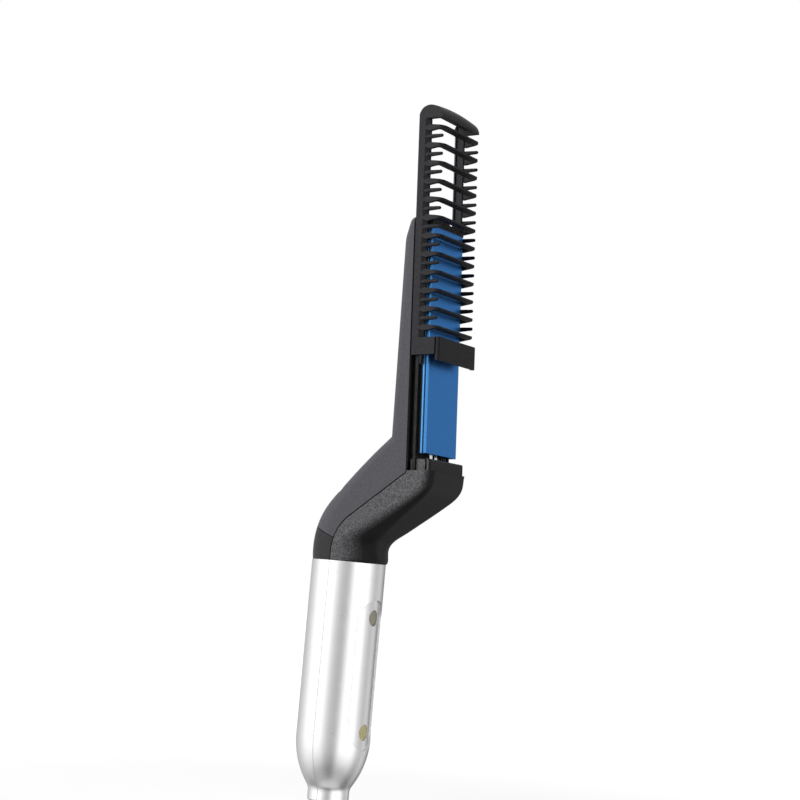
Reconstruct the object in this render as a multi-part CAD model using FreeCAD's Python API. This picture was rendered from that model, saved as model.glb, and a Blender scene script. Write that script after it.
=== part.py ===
import FreeCAD, Part
import math
import os

# Electric hair-straightening comb, in millimetres.
# X is the front, where the teeth point. Y is the width. Z runs up the handle's axis.
# The origin is the centre of the handle's cord end.

Vector = FreeCAD.Vector
Rotation = FreeCAD.Rotation
Placement = FreeCAD.Placement

# Handle: two silver half shells round one axis
handle_radius = 16.5
handle_length = 105.8
handle_wall = 2.2
spout_radius = 9.2
spout_length = 4.5
spout_rim = 1.2
ogee_length = 24.0
ogee_foot_radius = 5.0
shut_line = 0.12

# Grip recess with two press buttons
recess_margin = 7.9
recess_width = 20.0
recess_depth = 1.1
power_button_drop = 23.9
heat_button_z = 31.7
button_radius = 3.4
button_clearance = 0.12
button_sink = 0.8
button_flange_radius = 4.6
button_flange = 1.0
button_stem_radius = 1.4
button_stem = 1.9
button_travel = 0.6

# Circuit board and what is soldered to it; a share runs from the lower button to the upper one
switch_size = 6.0
switch_height = 3.5
plunger_radius = 1.75
plunger_reach = 0.6
plunger_depth = 0.9
plunger_clearance = 0.08
plunger_end_room = 0.2
board_thickness = 1.6
board_width = 18.0
board_bottom = 26.0
board_rise = 6.1
post_radius = 2.6
post_shares = (0.285, 0.68)
film_capacitor_size = (9.5, 13.0, 7.0)
film_capacitor_share = 0.5
electrolytic_radius = 4.0
electrolytic_length = 10.5
electrolytic_drop = 3.5
triac_size = (5.0, 4.6, 4.0)
triac_share = 0.135
controller_size = (1.5, 5.0, 6.0)
controller_share = 0.5
led_radius = 1.5
led_length = 3.0
led_share = 0.145

# Cord swivel in the spout
gland_radius = 6.6
gland_clearance = 0.05
gland_collar_radius = 7.6
gland_collar = 2.0
gland_collar_z = 5.0
gland_drop = 3.0
gland_top = 10.0
seat_top = 9.0
cord_bore_radius = 3.2
core_height = 10.0
contact_ring = 3.0
contact_ring_radius = 4.2
contact_ring_wall = 0.6
contact_ring_rise = 3.0
contact_tip_radius = 1.5
contact_tip = 2.0
contact_gap = 0.2
leaf_thickness = 0.4
leaf_width = 3.0
leaf_on_board = 4.0
leaf_overhang = 2.0
tip_leaf_offset = 4.5

# Screws: radius of shank and head, height of head
screw_radius = 1.2
screw_head_radius = 2.1
screw_head = 1.5
screw_length = 12.0
screw_clearance = 0.05
screw_head_clearance = 0.3
board_screw_length = 6.0
boss_radius = 2.9
handle_screw_low_y = 9.0
handle_screw_low_z = 19.5
handle_screw_high_y = 0.0
handle_screw_high_drop = 12.8
handle_screw_sink = 5.0
handle_screw_bite = 3.0

# Neck: black shells that carry the head forward of the handle
head_tilt = 3.4
head_width = 34.4
neck_set_in = 0.35
neck_wall = 2.2
neck_corner = 4.5
neck_blend = 0.8
neck_blend_power = 1.5
neck_roundness = 0.985
neck_sections = 11
neck_bend_x = 28.4
neck_bend_z = 55.0
neck_rear_angle = 45.4
neck_rear_radius = 38.0
neck_front_rise = 9.1
neck_front_angle = 51.6
neck_front_radius = 5.0
neck_nose_radius = 14.0
seam_rise = 13.6
seam_radius = 20.0
seam_turn_radius = 1.0
neck_shut_line = 0.32
collar_height = 10.0
collar_slope = 22.0
plug_length = 8.0
plug_wall = 1.8
plug_clearance = 0.1
plug_flange = 2.0
neck_screw_inset = 5.0
neck_screw_share = 0.52
neck_screw_sink = 7.0

# Head, in its own frame: x from the handle's axis, z up from the handle's top;
# a share runs up the heater's length
neck_front_x = 49.6
shoulder_z = 39.0
shoulder_plate = 2.0
spigot_height = 5.2
spigot_wall = 1.6
spigot_clearance = 0.3
spigot_corner = 1.2
spigot_round = 0.8
spigot_slot = 1.0
spigot_slot_depth = 0.7
spine_front_x = 37.5
spine_tip_x = 32.2
spine_wall = 1.8
spine_corner = 3.2
head_tip_rise = 4.4
nose_set_in = 2.5
nose_fall = 9.5
nose_start_radius = 14.0
nose_radius = 3.4
spine_rib = 1.6
spine_rib_shares = (0.113, 0.511, 0.91)
head_screw_shares = (0.252, 0.771)
head_screw_sink = 1.4

# Heater stack on its carrier
heater_face_x = 44.9
heater_set_in = 3.0
heater_bottom_z = 46.7
heater_length = 100.3
heater_face = 1.3
heater_flank = 2.2
heater_edge = 0.5
heater_groove = 0.75
heater_groove_depth = 0.8
heater_groove_back = 1.0
heater_seat = 1.2
ptc_thickness = 1.8
ptc_side_margin = 2.0
ptc_length = 22.0
ptc_count = 3
electrode_thickness = 0.25
film_thickness = 0.15
stack_margin = 4.0
electrode_margin = 0.7
tab_width = 2.4
tab_length = 5.0
tab_side_gap = 10.9
rear_tab_share = 0.1
carrier_flange = 1.6
carrier_clearance = 0.2
carrier_side_gap = 1.2
carrier_side_wall = 3.6
carrier_floor = 1.6
carrier_end = 8.0
tongue_reach = 1.8
tongue_thickness = 1.3
tongue_back = 0.4
end_cap = 2.4
end_cap_round = 0.8
holder_bottom_z = 40.0
holder_clearance = 0.1
fuse_radius = 1.3
fuse_length = 11.0
fuse_share = 0.372
thermistor_radius = 1.0
thermistor_length = 4.5
thermistor_share = 0.631
seat_gap = 0.05

# Leads from the board to the heater
heater_lead_radius = 0.9
sensor_lead_radius = 0.5
sensor_lead_side_gap = 11.2
sensor_lead_spacing = 1.4
lead_bend_radius = 10.0
lead_on_board = 5.0
heater_lead_board_y = [-5.9, -4.0]
sensor_lead_board_y = [3.7, 5.1]
lead_rise = 6.0
lead_fall_x = 41.5
lead_fall_z = 33.0

# Comb attachment, sliding on the carrier's tongues
comb_lift = 47.6
rail_thickness = 2.4
rail_depth = 5.3
rail_bevel = 1.2
rib_length = 2.1
rib_height = 1.2
rib_edge = 0.6
rail_clearance = 0.3
groove_clearance = 0.2
bracket_height = 10.2
bracket_front_x = 51.4
bracket_wall = 1.3
bracket_seat_gap = 0.2
bracket_slot = 0.8
bracket_corner = 1.0
bracket_side_rise = 2.7
peg_radius = 0.75
peg_inset = 0.1
peg_length = 1.2
tooth_pitch = 4.05
bar_start = 4.4
bar_depth = 3.2
bar_root = 2.9
bar_edge = 0.8
bar_gap = 2.4
bar_corner = 3.0
bar_leg = 1.9
tooth_inset = 0.75
tooth_root_radius = 1.05
tooth_tip_radius = 0.75
tooth_reach = 6.7
cap_roof = 3.8
cap_room = 0.5
cap_depth = 8.6
cap_set_back = 0.8
cap_fall = 3.0
cap_arch = 140.0
cap_rear_round = 5.0
cap_brow_round = 6.0
cap_side_round = 3.2


# Sizes that follow from the driving dimensions
handle_inner = handle_radius - handle_wall
neck_radius = handle_radius - neck_set_in
power_button_z = handle_length - power_button_drop
button_spacing = power_button_z - heat_button_z
recess_length = button_spacing + 2 * recess_margin
recess_centre = heat_button_z + button_spacing / 2
board_top = power_button_z + board_rise
recess_floor = handle_radius - recess_depth
button_face_x = recess_floor - button_sink
flange_front_x = math.sqrt(handle_inner ** 2 - button_flange_radius ** 2) - button_clearance
stem_end_x = flange_front_x - button_flange - button_stem
switch_top_x = stem_end_x - plunger_reach
board_front_x = switch_top_x - switch_height
board_rear_x = board_front_x - board_thickness
half_head = head_width / 2
rail_outer = half_head
rail_inner = rail_outer - rail_thickness
heater_width = head_width - 2 * heater_set_in
heater_top_z = heater_bottom_z + heater_length
head_tip_z = heater_top_z + head_tip_rise
spine_rib_z = [heater_bottom_z + share * heater_length for share in spine_rib_shares]
head_screw_z = [heater_bottom_z + share * heater_length for share in head_screw_shares]
fuse_z = heater_bottom_z + fuse_share * heater_length
thermistor_z = heater_bottom_z + thermistor_share * heater_length
carrier_width = 2 * (rail_inner - carrier_side_gap)
stack = ptc_thickness + 2 * electrode_thickness + 2 * film_thickness
carrier_front_x = heater_face_x - heater_face - stack
heater_pocket = heater_width / 2 - heater_flank
ptc_width = 2 * (heater_pocket - ptc_side_margin)
front_tab_y = tab_side_gap - half_head
rear_tab_y = rear_tab_share * half_head
sensor_lead_y = [half_head - sensor_lead_side_gap + step * sensor_lead_spacing for step in (0, 1)]
rear_tab_x = carrier_front_x + film_thickness + electrode_thickness / 2
front_tab_x = rear_tab_x + electrode_thickness + ptc_thickness
rail_rear_x = spine_front_x + rail_clearance
rail_front_x = rail_rear_x + rail_depth
tongue_front_x = carrier_front_x - tongue_back
tongue_rear_x = tongue_front_x - tongue_thickness
tongue_outer = carrier_width / 2 + tongue_reach
peg_x = (tongue_front_x + groove_clearance + rail_front_x) / 2
peg_y = rail_inner + peg_inset + peg_radius
bracket_inner = half_head - bracket_wall
bar_rear_x = heater_face_x + bar_gap
rib_rear_x = rail_front_x - rib_length
spigot_top_z = shoulder_z + spigot_height
spigot_front_x = neck_front_x - bracket_wall - spigot_clearance
spigot_rear_half = rail_inner - spigot_clearance
spigot_front_half = bracket_inner - spigot_clearance
spigot_step_x = rail_front_x + spigot_clearance
spigot_hollow_x = (spine_front_x + spigot_wall, spigot_front_x - spigot_wall)
spigot_hollow_half = spigot_rear_half - spigot_wall
rib_top_x = spine_front_x - carrier_clearance - carrier_flange

# The head leans back about the top of the handle
head_frame = Placement(Vector(0, 0, handle_length), Rotation(Vector(0, 1, 0), -head_tilt))


def box(x0, x1, y0, y1, z0, z1):
    """Block between two corners."""
    return Part.makeBox(x1 - x0, y1 - y0, z1 - z0, Vector(x0, y0, z0))


def rod(radius, start, end):
    """Round bar from one point to another."""
    way = end - start
    return Part.makeCylinder(radius, way.Length, start, way)


def both_sides(solid):
    """A solid on +Y together with its mirror image on -Y."""
    return solid.fuse(solid.mirror(Vector(0, 0, 0), Vector(0, 1, 0)))


def on_head(solid):
    """Places a solid made in the head's frame."""
    placed = solid.copy()
    placed.Placement = head_frame.multiply(placed.Placement)
    return placed


def head_point(x, z):
    """Point of the head's middle plane, in the object's frame."""
    return head_frame.multVec(Vector(x, 0, z))


def prism_y(points, half_width):
    """Solid with an outline of points in the XZ plane, over a width."""
    outline = Part.makePolygon(points + [points[0]])
    face = Part.Face(outline)
    face.translate(Vector(0, -half_width, 0))
    return face.extrude(Vector(0, 2 * half_width, 0))


def rounded_path(points, radii):
    """Wire along straight runs, with a tangent arc at each inner point."""
    edges = []
    last = points[0]
    for corner, following, radius in zip(points[1:-1], points[2:], radii):
        to_last = (points[points.index(corner) - 1] - corner).normalize()
        to_next = (following - corner).normalize()
        half_turn = (math.pi - to_last.getAngle(to_next)) / 2
        setback = radius * math.tan(half_turn)
        start = corner + to_last * setback
        end = corner + to_next * setback
        bisector = (to_last + to_next).normalize()
        middle = corner + bisector * (radius / math.cos(half_turn) - radius)
        edges.append(Part.LineSegment(last, start).toShape())
        edges.append(Part.Arc(start, middle, end).toShape())
        last = end
    edges.append(Part.LineSegment(last, points[-1]).toShape())
    return Part.Wire(edges)


def screw(seat, direction, length):
    """Pan-head screw with a cross recess: its seat is the underside of the head."""
    shank = Part.makeCylinder(screw_radius, length, Vector(0, 0, 0))
    head = Part.makeCylinder(screw_head_radius, screw_head, Vector(0, 0, -screw_head))
    arm = screw_head_radius * 0.6
    slot = screw_radius * 0.25
    depth = screw_head * 0.5
    cross = box(-arm, arm, -slot, slot, -screw_head, depth - screw_head)
    cross = cross.fuse(box(-slot, slot, -arm, arm, -screw_head, depth - screw_head))
    whole = shank.fuse(head).cut(cross).removeSplitter()
    whole.Placement = Placement(seat, Rotation(Vector(0, 0, 1), direction))
    return whole


def screw_hole(seat, direction, length, outward):
    """Pilot hole for the shank, with a counterbore that reaches outward for the head."""
    way = Vector(direction).normalize()
    hole = rod(screw_radius + screw_clearance, seat - way, seat + way * length)
    well = rod(screw_head_radius + screw_head_clearance, seat - way * outward, seat)
    return hole.fuse(well)


# Handle

def handle_form(inset):
    """The handle's turned form, with its surface moved inward."""
    rise = handle_radius - spout_radius
    sweep = 2 * math.atan2(rise, ogee_length)
    crown_radius = ogee_length / math.sin(sweep) - ogee_foot_radius
    foot_centre = Vector(spout_radius + ogee_foot_radius, 0, spout_length)
    crown_centre = Vector(handle_radius - crown_radius, 0, spout_length + ogee_length)
    foot = ogee_foot_radius + inset
    crown = crown_radius - inset

    def on_foot(angle):
        return foot_centre + Vector(-foot * math.cos(angle), 0, foot * math.sin(angle))

    def on_crown(angle):
        return crown_centre + Vector(crown * math.cos(angle), 0, -crown * math.sin(angle))

    rim = spout_rim
    outer = spout_radius - inset
    lean = math.sqrt(0.5)
    edges = [
        Part.LineSegment(Vector(0, 0, 0), Vector(outer - rim, 0, 0)).toShape(),
        Part.Arc(
            Vector(outer - rim, 0, 0),
            Vector(outer - rim + rim * lean, 0, rim - rim * lean),
            Vector(outer, 0, rim),
        ).toShape(),
        Part.LineSegment(Vector(outer, 0, rim), on_foot(0)).toShape(),
        Part.Arc(on_foot(0), on_foot(sweep / 2), on_foot(sweep)).toShape(),
        Part.Arc(on_crown(sweep), on_crown(sweep / 2), on_crown(0)).toShape(),
        Part.LineSegment(on_crown(0), Vector(handle_radius - inset, 0, handle_length)).toShape(),
        Part.LineSegment(
            Vector(handle_radius - inset, 0, handle_length), Vector(0, 0, handle_length)
        ).toShape(),
        Part.LineSegment(Vector(0, 0, handle_length), Vector(0, 0, 0)).toShape(),
    ]
    face = Part.Face(Part.Wire(edges))
    return face.revolve(Vector(0, 0, 0), Vector(0, 0, 1), 360)


def recess_cut():
    """Round-ended grip recess whose floor follows the handle."""
    half = recess_width / 2
    straight = recess_length / 2 - half
    pill = box(0, 2 * handle_radius, -half, half, recess_centre - straight, recess_centre + straight)
    for end in (recess_centre - straight, recess_centre + straight):
        tip = Part.makeCylinder(half, 2 * handle_radius, Vector(0, 0, end), Vector(1, 0, 0))
        pill = pill.fuse(tip)
    return pill.cut(Part.makeCylinder(recess_floor, handle_length))


def swivel_seat():
    """Stepped bore in the spout that traps the gland's collar."""
    slack = gland_clearance
    below = rod(gland_radius + slack, Vector(0, 0, -gland_drop), Vector(0, 0, handle_length / 2))
    pocket = rod(
        gland_collar_radius + slack,
        Vector(0, 0, gland_collar_z - slack),
        Vector(0, 0, gland_collar_z + gland_collar + slack),
    )
    return below.fuse(pocket)


def handle_screw_seats():
    """Seat of each screw that draws the rear shell to the front one."""
    places = (
        (handle_screw_low_y, handle_screw_low_z),
        (handle_screw_high_y, handle_length - handle_screw_high_drop),
    )
    seats = []
    for y, z in places:
        wall_x = math.sqrt(handle_inner ** 2 - y ** 2)
        seats.append(Vector(handle_screw_sink - wall_x, y, z))
    return seats


def board_height(share):
    """Height of a place on the board, as a share of the way between the buttons."""
    return heat_button_z + share * button_spacing


def post_heights():
    """Heights of the two posts that carry the board."""
    return [board_height(share) for share in post_shares]


def handle_shells():
    """The front and rear half shells."""
    form = handle_form(0)
    hollow = handle_form(handle_wall)
    hollow = hollow.cut(box(-handle_radius, handle_radius, -handle_radius, handle_radius, -1, seat_top))
    shell = form.cut(hollow).cut(swivel_seat())
    forward = Vector(1, 0, 0)
    for seat in handle_screw_seats():
        reach = Vector(2 * handle_radius, 0, 0)
        boss = rod(boss_radius, seat - reach, seat + reach).common(form)
        hole = screw_hole(seat, forward, handle_screw_bite - seat.x, handle_radius)
        shell = shell.fuse(boss).cut(hole)
    front_half = box(0, handle_radius * 2, -handle_radius * 2, handle_radius * 2, -1, handle_length + 1)
    front = shell.common(front_half)
    rear = shell.cut(front_half.translated(Vector(-shut_line, 0, 0)))

    for z in post_heights():
        post = rod(post_radius, Vector(board_front_x, 0, z), Vector(handle_radius, 0, z))
        front = front.fuse(post.common(form))
    front = front.cut(recess_cut())
    for z in post_heights():
        pilot = rod(
            screw_radius + screw_clearance,
            Vector(board_front_x, 0, z),
            Vector(board_front_x + board_screw_length, 0, z),
        )
        front = front.cut(pilot)
    for z in (power_button_z, heat_button_z):
        hole = rod(button_radius + button_clearance, Vector(0, 0, z), Vector(2 * handle_radius, 0, z))
        front = front.cut(hole)
    return front.removeSplitter(), rear.removeSplitter()


def press_button(z):
    """Round button with a flange behind the wall and a stem to its switch."""
    head = rod(button_radius, Vector(flange_front_x, 0, z), Vector(button_face_x, 0, z))
    rim = [edge for edge in head.Edges if abs(edge.BoundBox.XMin - button_face_x) < 0.01]
    head = head.makeFillet(min(0.4, button_sink / 2), rim)
    flange = rod(
        button_flange_radius,
        Vector(flange_front_x - button_flange, 0, z),
        Vector(flange_front_x, 0, z),
    )
    stem = rod(button_stem_radius, Vector(stem_end_x, 0, z), Vector(flange_front_x, 0, z))
    return head.fuse(flange).fuse(stem).removeSplitter()


def switch_parts(z):
    """Housing and plunger of the switch behind a button."""
    half = switch_size / 2
    housing = box(board_front_x, switch_top_x, -half, half, z - half, z + half)
    well_x = switch_top_x - plunger_depth - button_travel - plunger_end_room
    well = rod(
        plunger_radius + plunger_clearance, Vector(well_x, 0, z), Vector(stem_end_x, 0, z)
    )
    plunger = rod(
        plunger_radius, Vector(switch_top_x - plunger_depth, 0, z), Vector(stem_end_x, 0, z)
    )
    return housing.cut(well), plunger


def circuit_board():
    """Board across the handle, drilled for its two screws."""
    half = board_width / 2
    board = box(board_rear_x, board_front_x, -half, half, board_bottom, board_top)
    for z in post_heights():
        hole = rod(
            screw_radius + screw_clearance, Vector(board_rear_x, 0, z), Vector(board_front_x, 0, z)
        )
        board = board.cut(hole)
    return board


def behind_board(size, z):
    """Block that stands on the rear of the board."""
    depth, width, height = size
    return box(board_rear_x - depth, board_rear_x, -width / 2, width / 2, z - height / 2, z + height / 2)


def board_parts():
    """What is soldered to the board, by name."""
    depth, width, height = controller_size
    middle = board_height(controller_share)
    controller = box(
        board_front_x, board_front_x + depth,
        -width / 2, width / 2,
        middle - height / 2, middle + height / 2,
    )
    led_base = Vector(board_front_x, 0, board_height(led_share))
    led_end = led_base + Vector(led_length - led_radius, 0, 0)
    led = rod(led_radius, led_base, led_end).fuse(Part.makeSphere(led_radius, led_end))
    can_base = Vector(board_rear_x, 0, power_button_z - electrolytic_drop)
    can = rod(electrolytic_radius, can_base - Vector(electrolytic_length, 0, 0), can_base)
    return {
        "microcontroller": controller,
        "status_led": led.removeSplitter(),
        "film_capacitor": behind_board(film_capacitor_size, board_height(film_capacitor_share)),
        "electrolytic_capacitor": can,
        "triac": behind_board(triac_size, board_height(triac_share)),
    }


def board_screws():
    """Two screws through the board into the posts of the front shell."""
    forward = Vector(1, 0, 0)
    length = board_thickness + board_screw_length - 1
    return [screw(Vector(board_rear_x, 0, z), forward, length) for z in post_heights()]


# Cord swivel

def swivel_parts():
    """Gland, insulating core and brass contacts that turn together, by name."""
    gland = rod(gland_radius, Vector(0, 0, -gland_drop), Vector(0, 0, gland_top))
    collar = rod(
        gland_collar_radius,
        Vector(0, 0, gland_collar_z),
        Vector(0, 0, gland_collar_z + gland_collar),
    )
    lip = [edge for edge in gland.Edges if abs(edge.BoundBox.ZMax + gland_drop) < 0.01]
    gland = gland.makeFillet(gland_drop / 2, lip).fuse(collar)
    gland = gland.cut(rod(cord_bore_radius, Vector(0, 0, -gland_drop), Vector(0, 0, gland_top)))

    core_radius = contact_ring_radius - contact_ring_wall
    core_top = gland_top + core_height
    core = rod(core_radius, Vector(0, 0, gland_top), Vector(0, 0, core_top))
    ring_z = gland_top + contact_ring_rise
    ring = rod(contact_ring_radius, Vector(0, 0, ring_z), Vector(0, 0, ring_z + contact_ring))
    ring = ring.cut(rod(core_radius + seat_gap, Vector(0, 0, 0), Vector(0, 0, core_top)))
    tip = rod(contact_tip_radius, Vector(0, 0, core_top), Vector(0, 0, core_top + contact_tip))
    return {
        "cord_swivel_gland": gland.removeSplitter(),
        "swivel_core": core,
        "swivel_contacts": Part.makeCompound([ring, tip]),
    }


def contact_leaves():
    """Two brass leaves on the board that bear on the swivel's ring and tip."""
    half = leaf_width / 2
    leaf_x = board_rear_x - leaf_thickness
    soldered = board_bottom + leaf_on_board
    ring_foot = gland_top + contact_ring_rise - leaf_overhang
    ring_x = contact_ring_radius + contact_gap
    jog_top = board_bottom - leaf_thickness
    jog_low = jog_top - leaf_thickness
    ring_leaf = box(ring_x, ring_x + leaf_thickness, -half, half, ring_foot, jog_top)
    jog = box(
        min(ring_x, leaf_x), max(ring_x, leaf_x) + leaf_thickness, -half, half, jog_low, jog_top
    )
    ring_leaf = ring_leaf.fuse(jog)
    ring_leaf = ring_leaf.fuse(box(leaf_x, board_rear_x, -half, half, jog_low, soldered))
    tip_z = gland_top + core_height + contact_tip + contact_gap
    near = tip_leaf_offset - half
    far = tip_leaf_offset + half
    tip_leaf = box(leaf_x, board_rear_x, near, far, tip_z, soldered)
    tip_leaf = tip_leaf.fuse(box(-half, board_rear_x, near, far, tip_z, tip_z + leaf_thickness))
    tip_leaf = tip_leaf.fuse(box(-half, half, -half, far, tip_z, tip_z + leaf_thickness))
    return Part.makeCompound([ring_leaf.removeSplitter(), tip_leaf.removeSplitter()])


# Neck

def neck_paths():
    """Rear and front outlines of the neck in the XZ plane."""
    base_rear = Vector(-neck_radius, 0, handle_length)
    base_front = Vector(neck_radius, 0, handle_length)
    bend = head_point(neck_bend_x, neck_bend_z)
    drop = (bend.x + neck_radius) / math.tan(math.radians(neck_rear_angle))
    rear_corner = Vector(-neck_radius, 0, bend.z - drop)
    rear = rounded_path([base_rear, rear_corner, bend], [neck_rear_radius])

    front_corner = Vector(neck_radius, 0, handle_length + neck_front_rise)
    lean = math.radians(neck_front_angle)
    way = Vector(math.sin(lean), 0, math.cos(lean))
    shoulder = head_point(neck_front_x, shoulder_z)
    head_up = head_point(neck_front_x, shoulder_z + 1) - shoulder
    across = Vector(head_up.z, 0, -head_up.x)
    run = (shoulder - front_corner).dot(across) / way.dot(across)
    nose_corner = front_corner + way * run
    front = rounded_path(
        [base_front, front_corner, nose_corner, shoulder], [neck_front_radius, neck_nose_radius]
    )
    return rear, front


def neck_stations():
    """Pairs of points, rear and front, where the neck's sections lie."""
    rear, front = neck_paths()
    return list(zip(rear.discretize(Number=neck_sections), front.discretize(Number=neck_sections)))


def rounded_section(rear, front, half_width, corner):
    """Round-cornered section between a rear and a front point, over the width."""
    middle = (rear + front) * 0.5
    deep = (front - rear) * 0.5
    half_depth = deep.Length
    u = Vector(deep).normalize()
    v = Vector(0, 1, 0)
    lean = math.sqrt(0.5)
    edges = []
    corners = ((1, -1), (1, 1), (-1, 1), (-1, -1))
    arcs = []
    for su, sv in corners:
        centre = middle + u * (su * (half_depth - corner)) + v * (sv * (half_width - corner))
        on_u = centre + u * (su * corner)
        on_v = centre + v * (sv * corner)
        round_point = centre + u * (su * corner * lean) + v * (sv * corner * lean)
        first, last = (on_v, on_u) if su * sv < 0 else (on_u, on_v)
        arcs.append((first, round_point, last))
    for index, (first, round_point, last) in enumerate(arcs):
        edges.append(Part.Arc(first, round_point, last).toShape())
        edges.append(Part.LineSegment(last, arcs[(index + 1) % 4][0]).toShape())
    return Part.Wire(edges)


def neck_form(inset):
    """The neck's solid form, from the handle's round top to the head's bend."""
    sections = []
    stations = neck_stations()
    for index, (rear, front) in enumerate(stations):
        along = index / (len(stations) - 1)
        blend = max(0.0, 1 - along / neck_blend) ** neck_blend_power
        half_width = half_head + (neck_radius - half_head) * blend
        corner = neck_corner + (neck_radius * neck_roundness - neck_corner) * blend
        inward = (front - rear).normalize() * inset
        section = rounded_section(
            rear + inward, front - inward, half_width - inset, max(corner - inset, inset)
        )
        sections.append(section)
    return Part.makeLoft(sections, True)


def spine_form():
    """Long tapered rear of the head, with a rounded tip, in the head's frame."""
    foot = shoulder_z - shoulder_plate
    slope = (spine_tip_x - neck_bend_x) / (head_tip_z - neck_bend_z)
    foot_x = neck_bend_x + slope * (foot - neck_bend_z) + 2 * spine_wall
    nose_z = head_tip_z - nose_fall
    rear_line = [
        Vector(foot_x, 0, foot),
        Vector(neck_bend_x, 0, neck_bend_z),
    ]
    nose = rounded_path(
        [
            Vector(neck_bend_x, 0, neck_bend_z),
            Vector(neck_bend_x + slope * (nose_z - neck_bend_z), 0, nose_z),
            Vector(spine_tip_x + nose_set_in, 0, head_tip_z),
            Vector(spine_front_x, 0, head_tip_z),
        ],
        [nose_start_radius, nose_radius],
    )
    front_line = [
        Vector(spine_front_x, 0, head_tip_z),
        Vector(spine_front_x, 0, foot),
        Vector(foot_x, 0, foot),
    ]
    edges = Part.makePolygon(rear_line).Edges + nose.Edges + Part.makePolygon(front_line).Edges
    face = Part.Face(Part.Wire(edges))
    face.translate(Vector(0, -half_head, 0))
    solid = face.extrude(Vector(0, head_width, 0))
    rear = [
        edge for edge in solid.Edges
        if edge.BoundBox.YLength < 0.01
        and edge.BoundBox.XMin < spine_front_x - 0.1
        and edge.BoundBox.ZMin > neck_bend_z - 0.1
        and edge.BoundBox.ZLength > 0.1
    ]
    return solid.makeFillet(spine_corner, rear)


def spine_hollow():
    """Channel in the spine behind the heater's carrier, in the head's frame."""
    inner = half_head - spine_wall
    slope = (spine_tip_x - neck_bend_x) / (head_tip_z - neck_bend_z)
    foot = shoulder_z - shoulder_plate
    top = head_tip_z - spine_wall
    outline = [
        Vector(neck_bend_x + spine_wall + slope * (foot - neck_bend_z), 0, foot),
        Vector(neck_bend_x + spine_wall + slope * (top - neck_bend_z) + spine_wall * 0.8, 0, top),
        Vector(spine_front_x + 1, 0, top),
        Vector(spine_front_x + 1, 0, foot),
    ]
    return prism_y(outline, inner)


def neck_zones():
    """Space in front of the side seam, and space below the rear cover's lower end."""
    far = 4 * half_head
    below = Vector(0, 0, handle_length - plug_length - 1)
    corner = Vector(0, 0, handle_length + seam_rise)
    turn = head_point(spine_front_x, shoulder_z - shoulder_plate / 2)
    top = head_point(spine_front_x, head_tip_z)
    seam = rounded_path([below, corner, turn, top], [seam_radius, seam_turn_radius])
    path = [top, Vector(far, 0, top.z), Vector(far, 0, below.z), below]
    edges = list(seam.Edges)
    for start, end in zip(path, path[1:]):
        edges.append(Part.LineSegment(start, end).toShape())
    face = Part.Face(Part.Wire(edges))
    face.translate(Vector(0, -far, 0))
    front_zone = face.extrude(Vector(0, 2 * far, 0))

    climb = math.tan(math.radians(collar_slope))
    branch = handle_length + collar_height
    collar_zone = prism_y(
        [
            Vector(far, 0, below.z),
            Vector(far, 0, branch - far * climb),
            Vector(-far, 0, branch + far * climb),
            Vector(-far, 0, below.z),
        ],
        far,
    )
    return front_zone, collar_zone


def neck_screw_seats():
    """Seats of the screws that hold the rear cover to the front shell, and their direction."""
    rear, front = neck_paths()
    count = 101
    at = rear.discretize(Number=count)[int(count * neck_screw_share)]
    lean = math.radians(neck_rear_angle)
    inward = Vector(math.cos(lean), 0, -math.sin(lean))
    seats = []
    spread = half_head - neck_screw_inset
    for y in (-spread, spread):
        seats.append(at + inward * neck_screw_sink + Vector(0, y, 0))
    return seats, inward


def plug_ring():
    """Ring under the neck that plugs into the top of the handle."""
    outer = handle_inner - plug_clearance
    low = Vector(0, 0, handle_length - plug_length)
    high = Vector(0, 0, handle_length + plug_flange)
    ring = rod(outer, low, high)
    ring = ring.fuse(rod(handle_radius - plug_wall / 2, Vector(0, 0, handle_length), high))
    return ring.cut(rod(outer - plug_wall, low, high))


def spigot():
    """Walled step on the shoulder, over which the comb's bracket seats, in the head's frame."""
    low = shoulder_z - shoulder_plate
    step = box(
        spigot_step_x, spigot_front_x, -spigot_front_half, spigot_front_half, low, spigot_top_z
    )
    corners = [
        edge for edge in step.Edges
        if edge.BoundBox.ZLength > spigot_height and edge.BoundBox.XMin > spigot_front_x - 0.1
    ]
    step = step.makeFillet(spigot_corner, corners)
    top = [
        edge for edge in step.Edges
        if edge.BoundBox.ZMin > spigot_top_z - 0.01 and edge.BoundBox.XMax > spigot_step_x + 0.1
    ]
    step = step.makeFillet(spigot_round, top)
    slot_front = spigot_front_x - spigot_corner
    slot = box(
        slot_front - spigot_slot, slot_front,
        spigot_front_half - spigot_slot_depth, spigot_front_half,
        shoulder_z, spigot_top_z,
    )
    step = step.cut(both_sides(slot))
    rear = box(
        spine_front_x + rail_clearance, spigot_step_x,
        -spigot_rear_half, spigot_rear_half,
        low, spigot_top_z,
    )
    return step.fuse(rear).removeSplitter()


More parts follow.
